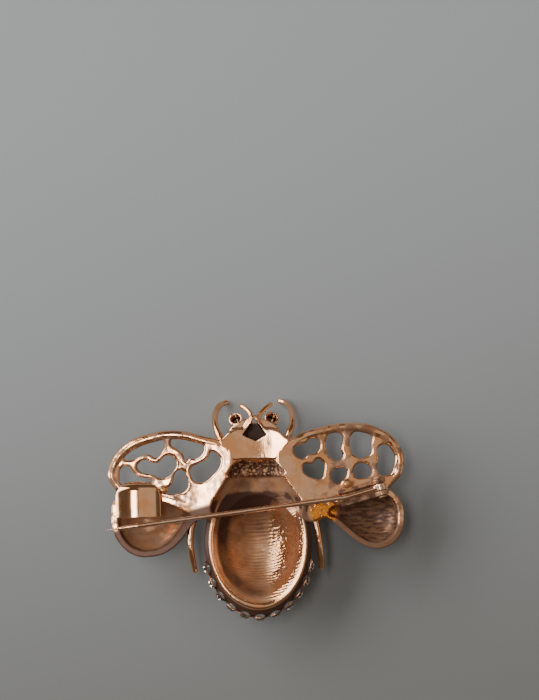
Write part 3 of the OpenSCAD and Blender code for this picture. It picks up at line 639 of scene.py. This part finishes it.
gold = rose_gold("Left wing plating", 0.04)
patina_and_shade, streaks, relief = wing_finish(gold, -1, (-17.6, -2.2), (5, 0.5, 1), 0.72, 0.95)
worn(left_wing, "cast_gold", gold.close(
    gold.colour, gold.roughness + 0.04 * streaks, relief, patina_and_shade), "casting")

gold = rose_gold("Right wing plating", 0.045)
patina_and_shade, streaks, relief = wing_finish(gold, 1, (18.9, -2.4), (3, 0.7, 1), 1.0, 0.85)
# Painted shadow along the inside of the upper rim.
rim_shadow = 0.8 * gold.near(15.6, 12.1, 1.5) + 0.8 * gold.near(18.0, 11.7, 1.8)
patina_and_shade = gold.maths("MAXIMUM", patina_and_shade, rim_shadow)
# Amber flux from the soldering is left beside the hinge, between the body and the lower wing.
flux = gold.near(10.8, -0.9, 2.8, 0.4) * gold.between(gold.noise(1.0, 4), 0.3, 0.45)
colour = gold.mixed(flux, gold.colour, (1.0, 0.38, 0.06))
relief = relief + 0.12 * flux * gold.noise(0.6, 3)
worn(right_wing, "cast_gold", gold.close(
    colour, gold.roughness + 0.04 * streaks, relief, patina_and_shade * (1 - flux)), "casting")

# The hind legs. Two slender rods are cast on below the lower wings, one on each side of the abdomen, and
# taper to blunt feet.
leg_y, leg_len, leg_widths = -1.2, 8.6, [1.2, 1.15, 1.08, 1.0, 0.94]
left_leg = [
    (-0.40, -0.05, 0.81), (-0.435, 0.18, 0.82), (-0.445, 0.45, 0.81), (-0.435, 0.75, 0.77),
    (-0.42, 1.00, 0.64)]
right_leg = [
    (0.38, -0.05, 0.81), (0.40, 0.18, 0.82), (0.415, 0.45, 0.81), (0.425, 0.75, 0.77), (0.43, 1.00, 0.64)]
gold = rose_gold("Leg plating", 0.04)
leg_finish = gold.close(gold.colour, gold.roughness, gold.height)
for name, line in (("left_hind_leg", left_leg), ("right_hind_leg", right_leg)):
    leg = tube(name, [(x * wing_len, leg_y - y * leg_len, z * rim_h) for x, y, z in line], leg_widths)
    polished(leg, 0.08, 4)
    worn(leg, "cast_gold", leg_finish, "casting")

# The stone collars. A fine raised bead of the same alloy is cast round each crystal's seat and burnished down
# on the stone's girdle. Up towards the rim the beads are dulled and darkened in patches, a painted shade.
collar_r, bead_r, collar_raised = 1.14, 0.13, 0.02
collars = []
for node in crystal_nodes:
    at, out = seat_place(node)
    bpy.ops.mesh.primitive_torus_add(
        major_segments=24, minor_segments=8, major_radius=collar_r * mm, minor_radius=bead_r * mm,
        location=(at + out * collar_raised) * mm, rotation=out.to_track_quat("Z", "Y").to_euler())
    collars.append(settle("collar"))
only(*collars)
bpy.ops.object.join()
collar = bpy.context.active_object
collar.name = "stone_collars"
bpy.ops.object.shade_smooth()
gold = rose_gold("Collar plating", 0.01)
# Painted shade: collars up towards the rim are dulled and darkened, in patches.
patina_and_shade = gold.between(gold.z, 3.5, 6.5) * (0.4 + 0.6 * gold.between(gold.noise(1.5, 2), 0.35, 0.6))
worn(collar, "cast_gold", gold.close(gold.colour, gold.roughness, gold.height, patina_and_shade), "casting")

# The hinge. A channel of folded brass sheet is soft-soldered across the right lower wing, and its two round
# ears hold the rivet that the pin turns on. Lumps of solder are left under it.
hinge_at = Vector((19.9, 2.8, 9.4585))
hinge_turn = math.radians(15)
rivet_way = (0, 1, 0)
gap_w, sheet, rise, ear_r, ear_bore_r = 1.3, 0.7, 1.65, 1.14, 0.48
channel_len, side_h = 7.6, 0.528


def box(low, high):
    """A block between two corners."""
    low, high = Vector(low), Vector(high)
    bpy.ops.mesh.primitive_cube_add(size=mm, location=(low + high) / 2 * mm, scale=high - low)
    return settle("block")


def drum(at, radius, depth, way):
    """A drum about a middle, with its axis along a way."""
    bpy.ops.mesh.primitive_cylinder_add(
        vertices=96, radius=radius * mm, depth=depth * mm, location=Vector(at) * mm,
        rotation=Vector(way).to_track_quat("Z", "Y").to_euler())
    return settle("drum")


def at_hinge(piece):
    """Carries a form that is drawn about the rivet's middle to the hinge."""
    piece.rotation_euler.z = hinge_turn
    piece.location = hinge_at * mm
    return settle(piece.name, piece)


right_end = ear_r * 0.8
left_end = right_end - channel_len
half_w = gap_w / 2 + sheet
forms = [box((left_end, -half_w, -rise - sheet), (right_end, half_w, -rise))]
for side in (-1, 1):
    inner, outer = sorted((side * gap_w / 2, side * half_w))
    forms.append(drum((0, side * (gap_w + sheet) / 2, 0), ear_r, sheet, rivet_way))
    forms.append(box((-ear_r, inner, -rise - sheet / 2), (ear_r, outer, 0)))
    forms.append(box((left_end, inner, -rise - sheet / 2), (0, outer, side_h - rise)))
channel = poured("hinge_channel", 0.07, *forms)
cut(channel, drum((0, 0, 0), ear_bore_r, 6, rivet_way))
polished(channel, 0.07, 3)
at_hinge(channel)
gold = rose_gold("Channel plating", 0.02)
# Painted shade: the channel is darkened and dulled all over, more in random patches.
patina_and_shade = 0.6 + 0.35 * gold.between(gold.noise(1.2, 3), 0.4, 0.6)
worn(channel, "cast_gold", gold.close(gold.colour, gold.roughness, gold.height, patina_and_shade), "casting")

# Each lump of solder is a flat bead with five small ones round it: two under the channel, one at the catch.
lumps = random.Random(7)
beads = []
for x, y, size in ((13.2, 0.9, 1.0), (14.6, 3.5, 0.8), (-14.9, 3.3, 0.8)):
    height = rim_h - abs(x) * math.sin(math.radians(droop)) - 0.1
    beads.append(ball((x, y, height), (1.2 * size, 0.9 * size, 0.6 * size)))
    for _ in range(5):
        turn, reach = lumps.uniform(0, 2 * math.pi), lumps.uniform(0.5, 0.95) * size
        small = size * lumps.uniform(0.28, 0.5)
        at = (x + 1.2 * reach * math.cos(turn), y + 0.8 * reach * math.sin(turn), height)
        beads.append(ball(at, (small, small, small * 0.8)))
solder = poured("solder", 0.1, *beads)
polished(solder, 0.08, 4)
gold = rose_gold("Plated solder", 0.03)
blobs = gold.noise(0.35, 4)
colour = gold.mixed(gold.between(blobs, 0.4, 0.6), gold_pale, (0.92, 0.42, 0.12))
patina_and_shade = 0.6 * gold.between(gold.noise(0.8, 2), 0.5, 0.6)
worn(solder, "cast_gold", gold.close(colour, 0.1 + 0.2 * blobs, 0.03 * blobs, patina_and_shade), "casting")

# The rivet. A short brass wire goes through both ears and the pin's eye, and is hammered to a low head at
# each end.
rivet_r, rivet_out, rivet_head_r, rivet_head_h = 0.45, 0.2, 0.65, 0.3
rivet = poured(
    "hinge_rivet_wire", 0.05, drum((0, 0, 0), rivet_r, 2 * half_w + rivet_out, rivet_way),
    *[drum((0, side * (half_w + rivet_out), 0), rivet_head_r, rivet_head_h, rivet_way) for side in (-1, 1)])
polished(rivet, 0.05, 4)
at_hinge(rivet)
brass = Finish("Rivet brass", Metallic=1.0)
dents = brass.noise(0.25, 3)
colour = brass.mixed(dents, (0.80, 0.44, 0.20), (0.90, 0.60, 0.34))
# Painted shade: the rivet is darkened and dulled, more where it is dented.
patina_and_shade = 0.4 + 0.5 * brass.between(dents, 0.4, 0.7)
worn(rivet, "rivet_metal", brass.close(colour, 0.15 + 0.2 * dents, 0.02 * dents, patina_and_shade), "hinge_rivet")

# The pin. One drawn wire of hard brass, plated like the casting, is flattened and pierced for the rivet at
# one end, bent where it leaves the channel, and ground to a point at the other. It stands
# open, above the back.
knee = Vector((14.3208, 1.3051, 9.4585))
root_way = (knee - hinge_at).normalized()
shaft_way = Vector((-0.99293774, -0.10962135, 0.04536299))
pin_d, point_d, shaft_len, point_len = 0.84, 0.12, 33.4, 5.0
pin_eye_r, pin_bore_r, pin_play = 0.95, 0.5, 0.16
path = [hinge_at + root_way * along for along in (0.7, 2.5)]
path += [knee - root_way * away for away in (0.7, 0.25)]
path += [knee + shaft_way * away for away in (0.25, 0.7)]
path += [knee + shaft_way * shaft_len * step / 12 for step in range(1, 13)]
widths = [pin_d] * len(path)
path += [knee + shaft_way * (shaft_len + point_len * step / 5) for step in range(1, 6)]
widths += [pin_d + (point_d - pin_d) * step / 5 for step in range(1, 6)]
wire = tube("wire", path, widths, round_ends=False)
eye = at_hinge(drum((0, 0, 0), pin_eye_r, gap_w - pin_play, rivet_way))
needle = poured("pin_needle", 0.07, wire, eye)
cut(needle, at_hinge(drum((0, 0, 0), pin_bore_r, 6, rivet_way)))
polished(needle, 0.065, 4)
plating = Finish("Pin plating", Metallic=1.0)
streaks = plating.noise(0.25, 3, (16, 0.5, 0.5))
patches = plating.noise(2.0, 3, (3, 1, 1))
colour = plating.mixed(plating.between(patches, 0.35, 0.65), (0.86, 0.48, 0.29), (0.93, 0.62, 0.44))
dressed(needle, plating.close(colour, 0.10 + 0.14 * streaks, 0.012 * streaks + 0.01 * patches))
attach(needle, "needle")
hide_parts("needle")

# The catch. One piece of brass sheet is curled over towards the head, crowned along the pin and rounded at
# its corners, and its short flat foot is soldered to the left wing. The pin's point slips in under its lip.
catch_at = Vector((-18.8, 4.7, hinge_at.z + 0.75))
catch_w, catch_len, catch_h, catch_t, crown_r = 7.2, 5.8, 3.2, 0.7, 9.0
foot_len, corner_r = catch_h * 0.9, catch_w * 0.37
half_slices, slice_t = 20, 0.01


def kept_inside(piece, tool):
    """Keeps what lies inside a tool's form."""
    finished(piece, "BOOLEAN", operation="INTERSECT", object=tool, solver="MANIFOLD")
    bpy.data.objects.remove(tool)
    return piece


def curl(wall, past):
    """The catch as a solid block, less a wall all round: one skin round the slices of its crown."""
    slices = []
    for step in range(-half_slices, half_slices + 1):
        x = (catch_w / 2 + past) * step / half_slices
        sag = crown_r - math.sqrt(crown_r * crown_r - x * x)
        r = (catch_h - sag) / 2
        slices.append(drum((x, -catch_h / 2, r - catch_h), r - wall, slice_t, (1, 0, 0)))
        slices.append(box(
            (x - slice_t / 2, -catch_len - past, wall - catch_h),
            (x + slice_t / 2, -catch_h / 2, -sag - wall)))
    return wrapped(*slices)


corners = [
    drum((side * (catch_w / 2 - corner_r), -corner_r, -catch_h / 2), corner_r, catch_h, (0, 0, 1))
    for side in (-1, 1)]
lip = box((-catch_w / 2, -catch_len, -catch_h), (catch_w / 2, -catch_len + 0.1, 0))
catch = kept_inside(curl(0, 0), wrapped(*corners, lip))
past_foot = box((-catch_w, -2 * catch_len, -2 * catch_h), (catch_w, -foot_len, -catch_h / 2))
cut(catch, curl(catch_t, 1), past_foot)
polished(catch, 0.06, 10)
catch.location = catch_at * mm
settle("catch", catch)
gold = rose_gold("Catch plating", 0.008)
# Painted shade: deeper orange gold in patches under the curl, below its top.
inside = gold.near(-19.2, 0.2, 3.2, 0.6) * (1 - gold.between(gold.z, 9.0, 9.6))
colour = gold.mixed(0.7 * inside * gold.noise(0.7, 3), gold.colour, (0.75, 0.36, 0.10))
worn(catch, "cast_gold", gold.close(colour, gold.roughness, gold.height), "casting")

# The eyes. Two cabochons of dark brown glass, moulded and fire-polished, are glued in the collets, with their
# flat backs to the back of the head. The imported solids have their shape, and are given the glass here.
glass = Finish("Eye glass", IOR=1.5, Coat_Weight=1.0, Coat_Roughness=0.03)
swirl = glass.noise(0.6, 3)
colour = glass.mixed(swirl, (0.02, 0.008, 0.005), (0.07, 0.03, 0.018))
eye_finish = glass.close(colour, 0.06 + 0.1 * swirl, 0.002 * swirl)
for name in ("eye_stone_left", "eye_stone_right"):
    dressed(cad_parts[name], eye_finish)

# The crystals. Small clear stones of pressed and polished glass, with a silver foil behind them, lie in rows
# across the abdomen's front and in one row round the tail.
stone = Finish("Clear crystal", IOR=1.56, Transmission_Weight=1.0)
cloud = stone.noise(0.9, 2)
# The glass is tinted warm grey, a painted shade for the dark seats seen through it.
colour = stone.mixed(cloud, (0.76, 0.68, 0.63), (0.86, 0.80, 0.76))
stone_finish = stone.close(colour, 0.01 + 0.05 * cloud, 0.001 * cloud)
for node in crystal_nodes:
    dressed(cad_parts[node], stone_finish)

# The studio. The brooch lies on its face on a matt card, whose colour is painted darker towards the brooch's
# tail and to its right, a painted fall-off of the light. A narrow strip of light hangs over it, a tall window
# stands low on the left, a dim warm wall is on the right, and the rest of the room is dark.
bpy.ops.mesh.primitive_plane_add(size=3)
table = bpy.context.active_object
table.name = "table"
surface = Finish("Card", Specular_IOR_Level=0.2)
fleck = surface.noise(0.6, 3)
# Painted shade: the card darkens towards the brooch's tail and to the right, with a faint cloudiness.
shade = surface.between(surface.y - 0.12 * surface.x + 8 * surface.noise(60, 2), -60, 85)
colour = surface.mixed(shade, (0.180, 0.183, 0.176), (0.363, 0.388, 0.405))
table.data.materials.append(surface.close(colour, 0.7 + 0.2 * fleck, 0.01 * fleck))


def panel(name, lean, forward, distance, size, strength, colour, round_to=0):
    """A soft rectangular light that faces the brooch. It leans right, and forward or round to the head."""
    lean, forward, round_to = (math.radians(turn) for turn in (lean, forward, round_to))
    light = bpy.data.lights.new(name, "AREA")
    light.shape = "RECTANGLE"
    light.size, light.size_y = size
    light.energy = strength * math.pi * size[0] * size[1]
    light.color = colour
    lamp = bpy.data.objects.new(name, light)
    turn = (Matrix.Rotation(-forward, 4, "X") @ Matrix.Rotation(-round_to, 4, "Z")
            @ Matrix.Rotation(lean, 4, "Y"))
    lamp.matrix_world = turn @ Matrix.Translation((0, 0, distance))
    bpy.context.scene.collection.objects.link(lamp)


panel("strip", -12, 2, 0.60, (0.10, 0.26), 10.0, (1.0, 0.99, 0.98))
panel("window", -66, 0, 0.80, (0.70, 1.0), 5.5, (1.0, 0.99, 0.97), 26)
panel("wall", 16, 16, 0.70, (0.46, 0.8), 0.41, (1.0, 0.88, 0.76))
panel("far_wall", 70, 10, 0.90, (0.60, 0.9), 0.4, (1.0, 0.88, 0.76))
world = bpy.data.worlds.new("room")
bpy.context.scene.world = world
world.use_nodes = True
room = world.node_tree.nodes["Background"].inputs
room["Color"].default_value = (1.0, 0.85, 0.72, 1)
room["Strength"].default_value = 0.11

# The camera is a long lens nearly straight over the brooch, turned 1.5 degrees as in the photograph.
lens = bpy.data.cameras.new("camera")
lens.lens = 133.71
lens.clip_start, lens.clip_end = 0.01, 10
camera = bpy.data.objects.new("camera", lens)
camera.location = Vector((0, -3.64, 425.16)) * mm
camera.rotation_euler = [math.radians(turn) for turn in (3.977, -0.284, -1.512)]
bpy.context.scene.collection.objects.link(camera)
bpy.context.scene.camera = camera
